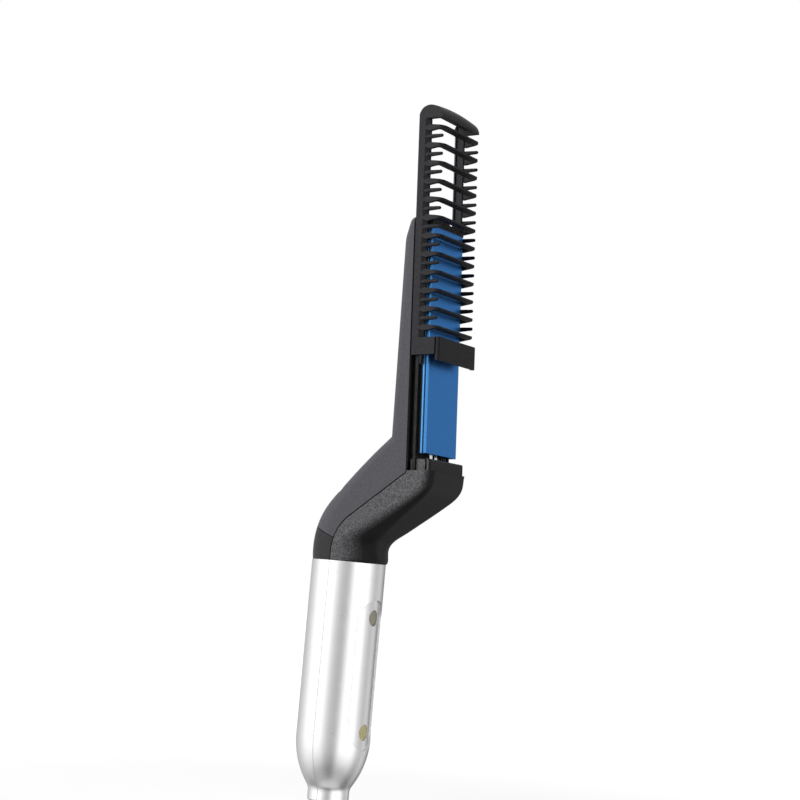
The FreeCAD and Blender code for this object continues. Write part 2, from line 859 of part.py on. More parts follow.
def neck_and_cover():
    """Front shell, rear collar and the long rear cover of the head."""
    hull = neck_form(0)
    far = 4 * half_head
    above = on_head(box(spine_front_x, far, -far, far, shoulder_z, head_tip_z))
    hull = hull.cut(above).fuse(on_head(spine_form()))
    under_plate = on_head(
        box(spine_front_x - spine_wall, far, -far, far, shoulder_z - shoulder_plate, head_tip_z)
    )
    hollow = neck_form(neck_wall).cut(under_plate)
    channel = on_head(spine_hollow())
    shell = hull.cut(hollow).cut(channel)

    ribs = []
    for z in spine_rib_z:
        slab = box(neck_bend_x, rib_top_x, -half_head, half_head, z - spine_rib / 2, z + spine_rib / 2)
        ribs.append(on_head(slab.common(spine_form())))
    for z in head_screw_z:
        boss = rod(boss_radius, Vector(neck_bend_x, 0, z), Vector(rib_top_x, 0, z))
        ribs.append(on_head(boss.common(spine_form())))
    shell = shell.fuse(ribs)
    for z in head_screw_z:
        seat = Vector(spine_tip_x + head_screw_sink, 0, z)
        shell = shell.cut(on_head(screw_hole(seat, Vector(1, 0, 0), screw_length, neck_bend_x)))

    seats, inward = neck_screw_seats()
    for seat in seats:
        boss = rod(boss_radius, seat - inward * far, seat + inward * far).common(neck_form(neck_wall / 2))
        shell = shell.fuse(boss.cut(under_plate))
        shell = shell.cut(screw_hole(seat, inward, screw_length, far / 4))

    hole = box(
        spigot_hollow_x[0], spigot_hollow_x[1],
        -spigot_hollow_half, spigot_hollow_half,
        shoulder_z - 2 * shoulder_plate, head_tip_z,
    )
    slack = rail_clearance
    peg_pocket = rod(
        peg_radius + slack,
        Vector(peg_x, peg_y, shoulder_z - peg_length - 2 * slack),
        Vector(peg_x, peg_y, shoulder_z),
    )
    front_zone, collar_zone = neck_zones()
    front = shell.common(front_zone).fuse(on_head(spigot())).fuse(plug_ring().common(front_zone))
    front = front.cut(on_head(hole)).cut(on_head(both_sides(peg_pocket)))
    rear_space = front_zone.translated(Vector(-neck_shut_line, 0, neck_shut_line))
    rear = shell.cut(front_zone).cut(rear_space)
    collar = rear.common(collar_zone)
    collar = collar.fuse(plug_ring().cut(front_zone).cut(rear_space))
    cover = rear.cut(collar_zone.translated(Vector(0, 0, neck_shut_line)))
    return front.removeSplitter(), collar.removeSplitter(), cover.removeSplitter()


# Head

def heater_carrier():
    """Heat-proof moulding that holds the heater and guides the comb on two tongues."""
    low = shoulder_z + spigot_height
    inner = half_head - spine_wall - carrier_clearance
    half = carrier_width / 2
    flange_front = spine_front_x - carrier_clearance
    body = box(flange_front, carrier_front_x, -half, half, heater_bottom_z, heater_top_z)
    flange = box(rib_top_x, flange_front, -inner, inner, low, heater_top_z)
    tongue = box(tongue_rear_x, tongue_front_x, 0, tongue_outer, heater_bottom_z, heater_top_z)
    guide = box(
        tongue_rear_x, tongue_front_x,
        spigot_rear_half + holder_clearance, tongue_outer,
        shoulder_z + holder_clearance, heater_bottom_z,
    )
    lip = box(
        carrier_front_x, carrier_front_x + heater_seat, heater_pocket, half, heater_bottom_z, heater_top_z
    )
    carrier = body.fuse(flange).fuse(both_sides(tongue.fuse(guide))).fuse(both_sides(lip))
    pocket_half = half - carrier_side_wall
    pocket = box(
        rib_top_x, carrier_front_x - carrier_floor,
        -pocket_half, pocket_half,
        heater_bottom_z + carrier_end, heater_top_z - carrier_end,
    )
    for z in head_screw_z:
        boss = rod(boss_radius, Vector(rib_top_x, 0, z), Vector(carrier_front_x, 0, z))
        pocket = pocket.cut(boss)
    carrier = carrier.cut(pocket)
    for z in head_screw_z:
        seat = Vector(spine_tip_x + head_screw_sink, 0, z)
        pilot = rod(
            screw_radius + screw_clearance, seat, Vector(carrier_front_x - carrier_floor, 0, z)
        )
        carrier = carrier.cut(pilot)
    return carrier.removeSplitter()


def heater_plate():
    """Extruded heating plate: a flat face on two grooved flanks."""
    half = heater_width / 2
    plate_rear = carrier_front_x + heater_seat
    plate = box(plate_rear, heater_face_x, -half, half, heater_bottom_z, heater_top_z)
    edges = [
        edge for edge in plate.Edges
        if edge.BoundBox.XMin > heater_face_x - 0.01 and edge.BoundBox.ZLength > 1
    ]
    plate = plate.makeChamfer(heater_edge, edges)
    plate = plate.cut(
        box(
            plate_rear, heater_face_x - heater_face,
            -heater_pocket, heater_pocket,
            heater_bottom_z, heater_top_z,
        )
    )
    groove_x = heater_face_x - heater_groove_back
    groove = box(
        groove_x - heater_groove, groove_x,
        half - heater_groove_depth, half,
        heater_bottom_z, heater_top_z,
    )
    return plate.cut(both_sides(groove))


def heater_stack():
    """Ceramic stones between two electrodes and two insulating films, by name."""
    low = heater_bottom_z + stack_margin
    high = heater_top_z - stack_margin
    film_half = heater_pocket - electrode_margin / 2
    plate_half = film_half - electrode_margin
    x = carrier_front_x
    rear_film = box(x, x + film_thickness, -film_half, film_half, low, high)
    x += film_thickness
    rear_plate = box(x, x + electrode_thickness, -plate_half, plate_half, low, high)
    rear_tab = box(
        x, x + electrode_thickness,
        rear_tab_y - tab_width / 2, rear_tab_y + tab_width / 2,
        heater_bottom_z - tab_length, low,
    )
    x += electrode_thickness
    step = (high - low) / ptc_count
    stones = []
    for index in range(ptc_count):
        middle = low + (index + 0.5) * step
        stones.append(
            box(
                x, x + ptc_thickness,
                -ptc_width / 2, ptc_width / 2,
                middle - ptc_length / 2, middle + ptc_length / 2,
            )
        )
    x += ptc_thickness
    front_plate = box(x, x + electrode_thickness, -plate_half, plate_half, low, high)
    front_tab = box(
        x, x + electrode_thickness,
        front_tab_y - tab_width / 2, front_tab_y + tab_width / 2,
        heater_bottom_z - tab_length, low,
    )
    x += electrode_thickness
    front_film = box(x, x + film_thickness, -film_half, film_half, low, high)
    return {
        "insulating_films": Part.makeCompound([rear_film, front_film]),
        "rear_electrode": rear_plate.fuse(rear_tab).removeSplitter(),
        "ptc_stones": Part.makeCompound(stones),
        "front_electrode": front_plate.fuse(front_tab).removeSplitter(),
    }


def head_sensors():
    """Thermal fuse and thermistor on the floor of the carrier's pocket, by name."""
    floor_x = carrier_front_x - carrier_floor - seat_gap
    fuse_x = floor_x - fuse_radius
    bead_x = floor_x - thermistor_radius
    fuse = rod(fuse_radius, Vector(fuse_x, 0, fuse_z), Vector(fuse_x, 0, fuse_z + fuse_length))
    bead = rod(
        thermistor_radius,
        Vector(bead_x, 0, thermistor_z),
        Vector(bead_x, 0, thermistor_z + thermistor_length),
    )
    return {"thermal_fuse": fuse, "thermistor": bead}


def heater_ends():
    """Holder at the foot of the heater and cap over its top end, by name."""
    holder_x = spigot_hollow_x[0] + holder_clearance
    holder_half = spigot_hollow_half - holder_clearance
    holder = box(
        holder_x, rear_tab_x - heater_lead_radius - holder_clearance,
        -holder_half, holder_half,
        holder_bottom_z, heater_bottom_z,
    )
    half = heater_width / 2
    cap = box(spine_front_x, heater_face_x, -half, half, heater_top_z, heater_top_z + end_cap)
    top = [
        edge for edge in cap.Edges
        if edge.BoundBox.ZMin > heater_top_z + end_cap - 0.01
        and edge.BoundBox.XMax > spine_front_x + 0.1
    ]
    cap = cap.makeFillet(end_cap_round, top)
    return {"heater_foot_holder": holder, "heater_end_cap": cap}


# Leads inside the neck

def lead(radius, board_y, top_y, top):
    """Insulated wire from the board up through the neck to a point of the heater."""
    board_x = board_rear_x - radius - seat_gap
    side = Vector(0, top_y, 0)
    points = [
        Vector(board_x, board_y, board_top - lead_on_board),
        Vector(board_x, board_y, handle_length + lead_rise),
        head_point(lead_fall_x, lead_fall_z) + side,
        top + side,
    ]
    path = rounded_path(points, [lead_bend_radius, lead_bend_radius])
    start = Part.Circle(points[0], Vector(0, 0, 1), radius)
    return path.makePipeShell([Part.Wire(start.toShape())], True, False)


def leads():
    """Heater leads to the electrode tabs and sensor leads to the carrier's foot, by name."""
    tab_end = heater_bottom_z - tab_length
    front_end = head_point(front_tab_x, tab_end)
    rear_end = head_point(rear_tab_x, tab_end)
    front_start, rear_start = heater_lead_board_y
    pair = [
        lead(heater_lead_radius, front_start, front_tab_y, front_end),
        lead(heater_lead_radius, rear_start, rear_tab_y, rear_end),
    ]
    sensor_x = carrier_front_x + sensor_lead_radius
    sensor_end = head_point(sensor_x, heater_bottom_z)
    thin = [
        lead(sensor_lead_radius, start, end, sensor_end)
        for start, end in zip(sensor_lead_board_y, sensor_lead_y)
    ]
    return {"heater_leads": Part.makeCompound(pair), "sensor_leads": Part.makeCompound(thin)}


# Comb attachment, made seated on the shoulder and then raised to where it rests

def comb_tooth():
    """Round tapered tooth with a ball tip, and the rib behind it on a rail, at height 0."""
    y = rail_outer - tooth_inset
    root = Vector(rail_front_x, y, 0)
    length = tooth_reach - tooth_tip_radius
    tip = root + Vector(length, 0, 0)
    pin = Part.makeCone(tooth_root_radius, tooth_tip_radius, length, root, Vector(1, 0, 0))
    rib_start = Vector(rib_rear_x, y, 0)
    rib = Part.makeCone(rib_edge, tooth_root_radius, rib_length, rib_start, Vector(1, 0, 0))
    return pin.fuse(Part.makeSphere(tooth_tip_radius, tip)).fuse(rib)


def comb_bar():
    """Bridge bar: a wedge from one rail round the front to the other, at height 0."""
    front = bar_rear_x + bar_depth
    half = bar_root / 2
    profile = [
        Vector(rib_rear_x, 0, -rib_edge),
        Vector(rail_front_x, 0, -half),
        Vector(front, 0, -bar_edge / 2),
        Vector(front, 0, bar_edge / 2),
        Vector(rail_front_x, 0, half),
        Vector(rib_rear_x, 0, rib_edge),
    ]
    band = prism_y(profile, rail_outer)
    inner = rail_outer - bar_leg
    gap = box(rib_rear_x, bar_rear_x, -inner, inner, -half, half)

    def front_corners(solid, x):
        upright = [edge for edge in solid.Edges if edge.BoundBox.YLength < 0.01]
        return [edge for edge in upright if edge.BoundBox.XMin > x - 0.01]

    band = band.makeFillet(bar_corner, front_corners(band, front))
    gap = gap.makeFillet(bar_corner - bar_leg, front_corners(gap, bar_rear_x))
    return band.cut(gap)


def comb_cap(low):
    """Solid end cap: a brow that arches over the width, with rounded ends, from a height up."""
    front = bar_rear_x + bar_depth - cap_set_back
    top = low + cap_depth
    outline = rounded_path(
        [
            Vector(rail_rear_x, 0, low),
            Vector(rail_rear_x, 0, top),
            Vector(front, 0, top - cap_fall),
            Vector(front, 0, low),
        ],
        [cap_rear_round, cap_brow_round],
    )
    base = Part.LineSegment(Vector(front, 0, low), Vector(rail_rear_x, 0, low)).toShape()
    face = Part.Face(Part.Wire(outline.Edges + [base]))
    hub = Vector(0, 0, top - cap_arch)
    reach = 2 * math.degrees(math.asin(rail_outer / cap_arch))
    face.rotate(hub, Vector(1, 0, 0), -reach)
    arched = face.revolve(hub, Vector(1, 0, 0), 2 * reach)

    drop = cap_arch - math.sqrt(cap_arch ** 2 - rail_outer ** 2)
    shoulder = top - drop
    ends = rounded_path(
        [
            Vector(0, -rail_outer, low),
            Vector(0, -rail_outer, shoulder),
            Vector(0, 0, top + drop),
            Vector(0, rail_outer, shoulder),
            Vector(0, rail_outer, low),
        ],
        [cap_side_round, cap_arch / 2, cap_side_round],
    )
    base = Part.LineSegment(Vector(0, rail_outer, low), Vector(0, -rail_outer, low)).toShape()
    sides = Part.Face(Part.Wire(ends.Edges + [base]))
    return arched.common(sides.extrude(Vector(2 * front, 0, 0)))


def comb_attachment():
    """One moulding: bracket, two grooved rails, teeth, bridge bars and end cap."""
    low = shoulder_z + bracket_seat_gap
    bracket_top = low + bracket_height
    ceiling = head_tip_z + cap_room
    cap_low = ceiling + cap_roof - cap_depth

    side_low = low + bracket_side_rise
    rail = box(rail_rear_x, rail_front_x, rail_inner, rail_outer, side_low, cap_low + rail_thickness)
    inner_edge = [
        edge for edge in rail.Edges
        if edge.BoundBox.ZLength > 1
        and edge.BoundBox.XMax < rail_rear_x + 0.01 and edge.BoundBox.YMax < rail_inner + 0.01
    ]
    rail = rail.makeChamfer(rail_bevel, inner_edge)
    slope = Part.makePolygon(
        [
            Vector(rail_front_x, rail_outer - rib_height, bracket_top),
            Vector(rail_front_x, rail_outer, bracket_top),
            Vector(rib_rear_x, rail_outer, bracket_top),
            Vector(rail_front_x, rail_outer - rib_height, bracket_top),
        ]
    )
    rail = rail.cut(Part.Face(slope).extrude(Vector(0, 0, ceiling)))
    groove = box(
        tongue_rear_x - groove_clearance, tongue_front_x + groove_clearance,
        rail_inner, tongue_outer + groove_clearance,
        low, ceiling,
    )
    peg = rod(peg_radius, Vector(peg_x, peg_y, low - peg_length), Vector(peg_x, peg_y, side_low))
    side = rail.cut(groove)

    frame = box(rail_rear_x, bracket_front_x, -half_head, half_head, low, bracket_top)
    corners = [
        edge for edge in frame.Edges
        if edge.BoundBox.ZLength > 1 and edge.BoundBox.XMin > bracket_front_x - 0.01
    ]
    frame = frame.makeFillet(bracket_corner, corners)
    frame = frame.cut(
        box(
            rail_rear_x, bracket_front_x - bracket_wall,
            -bracket_inner, bracket_inner,
            low, bracket_top,
        )
    )
    slot_x = bracket_front_x - bracket_wall - bracket_slot
    slot = box(
        slot_x, slot_x + bracket_slot,
        half_head - bracket_wall / 2, half_head,
        low, bracket_top,
    )
    frame = frame.cut(both_sides(slot))
    side_end = box(rail_rear_x, slot_x, bracket_inner, half_head, low, side_low)
    frame = frame.cut(both_sides(side_end))

    cap = comb_cap(cap_low)
    cap = cap.cut(
        box(
            rail_rear_x, bar_rear_x - rail_clearance,
            -rail_inner, rail_inner,
            cap_low, ceiling,
        )
    )
    cap = cap.cut(both_sides(groove))

    pieces = [both_sides(side), both_sides(peg), cap]
    first_bar = bracket_top + bar_start
    bar_count = 1 + int((cap_low - first_bar) / (2 * tooth_pitch))
    bar = comb_bar()
    teeth = both_sides(comb_tooth())
    for index in range(bar_count):
        z = first_bar + index * 2 * tooth_pitch
        pieces.append(bar.translated(Vector(0, 0, z)))
        if index + 1 < bar_count:
            pieces.append(teeth.translated(Vector(0, 0, z + tooth_pitch)))
    comb = frame.fuse(pieces).removeSplitter()
    comb.translate(Vector(0, 0, comb_lift))
    return comb


# Build and write each piece

def build():
    """Every piece by its node name, in the object's frame."""
    parts = {}
    parts["handle_front_shell"], parts["handle_rear_shell"] = handle_shells()
    neck, collar, cover = neck_and_cover()
    parts["neck_front_shell"] = neck
    parts["neck_rear_collar"] = collar
    parts["head_rear_cover"] = cover

    for name, z in (("power", power_button_z), ("heat", heat_button_z)):
        housing, plunger = switch_parts(z)
        parts[name + "_button"] = press_button(z)
        parts[name + "_switch"] = housing
        parts[name + "_switch_plunger"] = plunger
    parts["circuit_board"] = circuit_board()
    parts.update(board_parts())
    parts["board_screws"] = Part.makeCompound(board_screws())
    parts.update(swivel_parts())
    parts["contact_leaves"] = contact_leaves()
    parts.update(leads())

    forward = Vector(1, 0, 0)
    handle_screws = [
        screw(seat, forward, handle_screw_bite - seat.x) for seat in handle_screw_seats()
    ]
    parts["handle_screws"] = Part.makeCompound(handle_screws)
    seats, inward = neck_screw_seats()
    parts["neck_screws"] = Part.makeCompound([screw(seat, inward, screw_length - 1) for seat in seats])

    in_head = {
        "heater_carrier": heater_carrier(),
        "heater_plate": heater_plate(),
        "comb_attachment": comb_attachment(),
    }
    in_head.update(heater_stack())
    in_head.update(head_sensors())
    in_head.update(heater_ends())
    head_seat_x = spine_tip_x + head_screw_sink
    reach = carrier_front_x - carrier_floor - head_seat_x - 1
    in_head["head_screws"] = Part.makeCompound(
        [screw(Vector(head_seat_x, 0, z), forward, reach) for z in head_screw_z]
    )
    for name, shape in in_head.items():
        parts[name] = on_head(shape)
    return parts


os.makedirs("parts", exist_ok=True)
for name, shape in build().items():
    shape.exportStep(os.path.join("parts", name + ".step"))
    print(name, len(shape.Solids), round(shape.Volume, 1), shape.isValid())
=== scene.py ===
import math
import bmesh
import bpy
from mathutils import Matrix, Vector
from mathutils.bvhtree import BVHTree


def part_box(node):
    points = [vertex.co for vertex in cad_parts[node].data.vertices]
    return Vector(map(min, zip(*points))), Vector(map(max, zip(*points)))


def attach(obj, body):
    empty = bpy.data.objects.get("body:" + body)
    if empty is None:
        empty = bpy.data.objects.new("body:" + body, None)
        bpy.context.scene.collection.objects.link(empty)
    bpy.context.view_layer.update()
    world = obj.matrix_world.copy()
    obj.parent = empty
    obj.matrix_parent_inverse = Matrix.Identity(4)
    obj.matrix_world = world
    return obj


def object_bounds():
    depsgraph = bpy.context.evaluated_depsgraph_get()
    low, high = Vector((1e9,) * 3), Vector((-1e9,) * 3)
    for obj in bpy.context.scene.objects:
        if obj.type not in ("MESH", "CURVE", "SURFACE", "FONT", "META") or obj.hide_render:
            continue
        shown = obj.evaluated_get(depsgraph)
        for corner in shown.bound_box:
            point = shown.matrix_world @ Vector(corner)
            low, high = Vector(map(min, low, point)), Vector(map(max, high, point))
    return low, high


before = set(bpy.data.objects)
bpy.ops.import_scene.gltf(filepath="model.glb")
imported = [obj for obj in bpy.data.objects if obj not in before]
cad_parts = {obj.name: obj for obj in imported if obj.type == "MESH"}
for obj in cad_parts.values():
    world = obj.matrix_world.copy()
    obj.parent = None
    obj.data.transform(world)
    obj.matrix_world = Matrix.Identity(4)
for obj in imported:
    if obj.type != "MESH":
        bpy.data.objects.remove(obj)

cad_low, cad_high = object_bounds()


# Handle shells. Two half shells moulded in ABS and sprayed with a silver lacquer whose fine
# flakes show in the light. They meet on a parting line at each side and are screwed together.
def new_finish(name, sockets):
    """A material and its shader, with the plain values set on the shader's own sockets."""
    made = bpy.data.materials.new(name)
    made.use_nodes = True
    shader = made.node_tree.nodes["Principled BSDF"]
    for socket, value in sockets.items():
        shader.inputs[socket].default_value = value
    return made, shader


def grain(made, size, detail=2.0, stretch=(1, 1, 1)):
    """Cloudy pattern laid in the piece's own coordinates, with patches of a size in metres."""
    nodes, links = made.node_tree.nodes, made.node_tree.links
    place = nodes.new("ShaderNodeTexCoord")
    turned = nodes.new("ShaderNodeMapping")
    turned.inputs["Scale"].default_value = stretch
    cloud = nodes.new("ShaderNodeTexNoise")
    cloud.inputs["Scale"].default_value = 1 / size
    cloud.inputs["Detail"].default_value = detail
    links.new(place.outputs["Object"], turned.inputs["Vector"])
    links.new(turned.outputs["Vector"], cloud.inputs["Vector"])
    return cloud.outputs["Fac"]


def flakes(made, size):
    """Pattern of small cells, each with a value of its own, in the piece's coordinates."""
    nodes, links = made.node_tree.nodes, made.node_tree.links
    place = nodes.new("ShaderNodeTexCoord")
    cells = nodes.new("ShaderNodeTexVoronoi")
    cells.inputs["Scale"].default_value = 1 / size
    grey = nodes.new("ShaderNodeSeparateColor")
    links.new(place.outputs["Object"], cells.inputs["Vector"])
    links.new(cells.outputs["Color"], grey.inputs["Color"])
    return grey.outputs["Red"]


def tint(made, shader, pattern, dark, light, low=0.35, high=0.65):
    """Colours the shader from one tone to another along a pattern."""
    ramp = made.node_tree.nodes.new("ShaderNodeValToRGB")
    ramp.color_ramp.elements[0].position = low
    ramp.color_ramp.elements[0].color = (*dark, 1)
    ramp.color_ramp.elements[1].position = high
    ramp.color_ramp.elements[1].color = (*light, 1)
    made.node_tree.links.new(pattern, ramp.inputs["Fac"])
    made.node_tree.links.new(ramp.outputs["Color"], shader.inputs["Base Color"])


def vary(made, shader, pattern, least, most):
    """Spreads a pattern over a range of roughness."""
    spread = made.node_tree.nodes.new("ShaderNodeMapRange")
    spread.inputs["From Min"].default_value = 0.3
    spread.inputs["From Max"].default_value = 0.7
    spread.inputs["To Min"].default_value = least
    spread.inputs["To Max"].default_value = most
    made.node_tree.links.new(pattern, spread.inputs["Value"])
    made.node_tree.links.new(spread.outputs["Result"], shader.inputs["Roughness"])


def relief(made, shader, pattern, height, under=None):
    """Raises the surface along a pattern by a height in metres, over rounded edges if given."""
    bump = made.node_tree.nodes.new("ShaderNodeBump")
    bump.inputs["Distance"].default_value = height
    made.node_tree.links.new(pattern, bump.inputs["Height"])
    if under:
        made.node_tree.links.new(under.outputs["Normal"], bump.inputs["Normal"])
    made.node_tree.links.new(bump.outputs["Normal"], shader.inputs["Normal"])


def dress(made, *names):
    """Gives CAD nodes a finish."""
    for name in names:
        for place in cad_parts[name].material_slots:
            place.material = made


def edge_round(made, radius):
    """Lets light run round the piece's edges, as it does over a mould's own small radius."""
    soft = made.node_tree.nodes.new("ShaderNodeBevel")
    soft.samples = 6
    soft.inputs["Radius"].default_value = radius
    return soft


silver_lacquer, shader = new_finish(
    "silver_lacquer",
    {"Metallic": 0.75, "Coat Weight": 0.25, "Coat Roughness": 0.15},
)
flake = flakes(silver_lacquer, 0.0001)
tint(silver_lacquer, shader, flake, (0.755, 0.753, 0.763), (0.775, 0.773, 0.783), 0.1, 0.9)
vary(silver_lacquer, shader, grain(silver_lacquer, 0.004, 2), 0.27, 0.31)
shell_edge = edge_round(silver_lacquer, 0.0003)
relief(silver_lacquer, shader, grain(silver_lacquer, 0.006, 1), 0.000004, under=shell_edge)
dress(silver_lacquer, "handle_front_shell", "handle_rear_shell")


# Cord swivel. A black gland is trapped by its collar in the spout and turns with the cord.
# On it sit a pale insulating core, a brass ring and a brass tip that feed the two leaves.
gland_plastic, shader = new_finish("gland_plastic", {"Specular IOR Level": 0.4})
tint(gland_plastic, shader, grain(gland_plastic, 0.0009, 4), (0.018, 0.018, 0.019), (0.03, 0.03, 0.031))
vary(gland_plastic, shader, grain(gland_plastic, 0.0004), 0.48, 0.62)
relief(gland_plastic, shader, grain(gland_plastic, 0.00025), 0.00002)
dress(gland_plastic, "cord_swivel_gland")

core_plastic, shader = new_finish("core_plastic", {"Subsurface Weight": 0.1, "Subsurface Scale": 0.001})
tint(core_plastic, shader, grain(core_plastic, 0.002, 4), (0.66, 0.63, 0.54), (0.76, 0.74, 0.66))
vary(core_plastic, shader, grain(core_plastic, 0.0006), 0.38, 0.5)
relief(core_plastic, shader, grain(core_plastic, 0.0003), 0.00001)
dress(core_plastic, "swivel_core")

contact_brass, shader = new_finish("contact_brass", {"Metallic": 1.0})
tint(contact_brass, shader, grain(contact_brass, 0.0012, 5), (0.56, 0.36, 0.12), (0.78, 0.58, 0.25))
vary(contact_brass, shader, grain(contact_brass, 0.0002, 3, (1, 1, 12)), 0.2, 0.42)
relief(contact_brass, shader, grain(contact_brass, 0.0002, 3, (1, 1, 12)), 0.000008)
dress(contact_brass, "swivel_contacts", "contact_leaves")


# Circuit board. Glass-fibre board under a green solder mask, screwed to two posts of the front
# shell. The copper tracks show through the mask as lighter lines.
board_mask, shader = new_finish("board_mask", {"Coat Weight": 0.3, "Coat Roughness": 0.2})
place = board_mask.node_tree.nodes.new("ShaderNodeTexCoord")
turned = board_mask.node_tree.nodes.new("ShaderNodeMapping")
turned.inputs["Rotation"].default_value = (0, math.radians(90), math.radians(90))
tracks = board_mask.node_tree.nodes.new("ShaderNodeTexBrick")
tracks.inputs["Scale"].default_value = 1.0
tracks.inputs["Brick Width"].default_value = 0.0062
tracks.inputs["Row Height"].default_value = 0.0017
tracks.inputs["Mortar Size"].default_value = 0.00022
tracks.inputs["Mortar Smooth"].default_value = 0.3
tracks.inputs["Color1"].default_value = (0.012, 0.075, 0.03, 1)
tracks.inputs["Color2"].default_value = (0.016, 0.095, 0.036, 1)
tracks.inputs["Mortar"].default_value = (0.05, 0.2, 0.07, 1)
board_mask.node_tree.links.new(place.outputs["Object"], turned.inputs["Vector"])
board_mask.node_tree.links.new(turned.outputs["Vector"], tracks.inputs["Vector"])
board_mask.node_tree.links.new(tracks.outputs["Color"], shader.inputs["Base Color"])
vary(board_mask, shader, grain(board_mask, 0.0006), 0.32, 0.45)
relief(board_mask, shader, tracks.outputs["Fac"], 0.00003)
dress(board_mask, "circuit_board")


# Parts on the board. A microcontroller and a triac in black epoxy, a film capacitor in a yellow
# case, an electrolytic can in its sleeve, and a red status light. Each stands on tinned legs.
epoxy, shader = new_finish("epoxy", {"Specular IOR Level": 0.35})
tint(epoxy, shader, grain(epoxy, 0.0005, 5), (0.012, 0.012, 0.013), (0.026, 0.026, 0.027))
vary(epoxy, shader, grain(epoxy, 0.0002), 0.5, 0.68)
relief(epoxy, shader, grain(epoxy, 0.00014), 0.000015)
dress(epoxy, "microcontroller", "triac")

film_case, shader = new_finish("film_case", {"Coat Weight": 0.2})
tint(film_case, shader, grain(film_case, 0.0025, 4), (0.52, 0.36, 0.045), (0.62, 0.46, 0.08))
vary(film_case, shader, grain(film_case, 0.0008), 0.25, 0.38)
relief(film_case, shader, grain(film_case, 0.001), 0.00002)
dress(film_case, "film_capacitor")

capacitor_can, shader = new_finish("capacitor_can", {"Coat Weight": 0.4, "Coat Roughness": 0.15})
tint(capacitor_can, shader, grain(capacitor_can, 0.003, 3), (0.012, 0.02, 0.05), (0.02, 0.03, 0.075))
vary(capacitor_can, shader, grain(capacitor_can, 0.0007), 0.22, 0.36)
relief(capacitor_can, shader, grain(capacitor_can, 0.0012), 0.000015)
dress(capacitor_can, "electrolytic_capacitor")

led_resin, shader = new_finish("led_resin", {"Transmission Weight": 0.4, "IOR": 1.5})
tint(led_resin, shader, grain(led_resin, 0.002), (0.5, 0.02, 0.015), (0.68, 0.05, 0.03))
vary(led_resin, shader, grain(led_resin, 0.0006), 0.08, 0.16)
relief(led_resin, shader, grain(led_resin, 0.0008), 0.000006)
dress(led_resin, "status_led")

tinned_metal, shader = new_finish("tinned_metal", {"Metallic": 1.0})
tint(tinned_metal, shader, grain(tinned_metal, 0.0004, 4), (0.55, 0.55, 0.54), (0.74, 0.74, 0.73))
vary(tinned_metal, shader, grain(tinned_metal, 0.0003), 0.22, 0.4)
relief(tinned_metal, shader, grain(tinned_metal, 0.0003), 0.000012)


def mesh_piece(name, shape, made, body):
    """Turns finished mesh work into a named piece that rides on a body."""
    bmesh.ops.recalc_face_normals(shape, faces=shape.faces)
    mesh = bpy.data.meshes.new(name)
    shape.to_mesh(mesh)
    shape.free()
    mesh.materials.append(made)
    piece = bpy.data.objects.new(name, mesh)
    bpy.context.scene.collection.objects.link(piece)
    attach(piece, body)


def block(shape, low, high, bevel):
    """Adds a block with rounded edges to mesh work."""
    centre = (Vector(low) + Vector(high)) / 2
    size = Vector(high) - Vector(low)
    made = bmesh.ops.create_cube(shape, size=1, matrix=Matrix.LocRotScale(centre, None, size))
    edges = list({edge for vert in made["verts"] for edge in vert.link_edges})
    bmesh.ops.bevel(shape, geom=edges, offset=bevel, segments=2, profile=0.5, affect="EDGES")


leg_pitch = 0.00127
leg_width = 0.0004
leg_count = 4
leg_bevel = 0.00004
# Each stretch of a leg: from and to, out of the case's side, then from and to, off the board.
shoulder = (-0.0003, 0.0006, 0.0006, 0.0008)
shank = (0.0004, 0.0006, 0.0001, 0.0008)
foot = (0.0004, 0.0013, 0.00001, 0.0002)
chip_low, chip_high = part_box("microcontroller")
legs = bmesh.new()
for side, edge_y in ((-1, chip_low.y), (1, chip_high.y)):
    for index in range(leg_count):
        z = (chip_low.z + chip_high.z) / 2 + (index - (leg_count - 1) / 2) * leg_pitch
        for near, far, under, over in (shoulder, shank, foot):
            y0, y1 = sorted((edge_y + side * near, edge_y + side * far))
            low = (chip_low.x + under, y0, z - leg_width / 2)
            high = (chip_low.x + over, y1, z + leg_width / 2)
            block(legs, low, high, leg_bevel)
mesh_piece("microcontroller_legs", legs, tinned_metal, "body")


# Push switches. Each is a square black housing soldered to the board, with a red plunger that
# its button presses.
switch_plastic, shader = new_finish("switch_plastic", {"Specular IOR Level": 0.4})
tint(switch_plastic, shader, grain(switch_plastic, 0.001, 4), (0.02, 0.02, 0.021), (0.036, 0.036, 0.037))
vary(switch_plastic, shader, grain(switch_plastic, 0.0004), 0.42, 0.56)
relief(switch_plastic, shader, grain(switch_plastic, 0.0002), 0.000012)
dress(switch_plastic, "power_switch", "heat_switch")

plunger_plastic, shader = new_finish(
    "plunger_plastic", {"Subsurface Weight": 0.05, "Subsurface Scale": 0.001}
)
tint(plunger_plastic, shader, grain(plunger_plastic, 0.0012, 4), (0.34, 0.035, 0.03), (0.46, 0.06, 0.045))
vary(plunger_plastic, shader, grain(plunger_plastic, 0.0005), 0.34, 0.46)
relief(plunger_plastic, shader, grain(plunger_plastic, 0.0003), 0.00001)
dress(plunger_plastic, "power_switch_plunger", "heat_switch_plunger")


